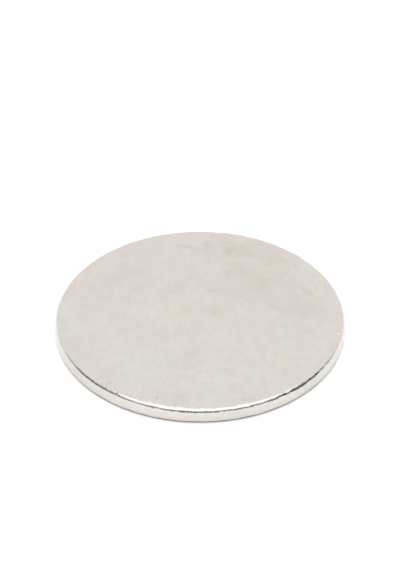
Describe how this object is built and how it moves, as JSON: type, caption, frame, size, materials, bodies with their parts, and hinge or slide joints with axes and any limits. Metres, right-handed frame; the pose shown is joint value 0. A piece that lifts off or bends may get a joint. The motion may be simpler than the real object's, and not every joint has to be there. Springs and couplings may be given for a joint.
{
  "type": "disc magnet",
  "caption": "Thin round disc magnet with two flat pole faces, softly rounded edges and a satin nickel-plated skin.",
  "frame": {"origin": "centre of the lower pole face, on the surface that the magnet lies on", "axes": "+Z along the disc's own axis, from the lower pole face to the upper one; the disc is round, so X and Y are free"},
  "size_m": [0.018, 0.018, 0.001],
  "materials": {
    "nickel_plate": "satin nickel plating over a ground and tumbled surface"
  },
  "bodies": {
    "root": {"disc_magnet": "nickel_plate"}
  },
  "joints": []
}
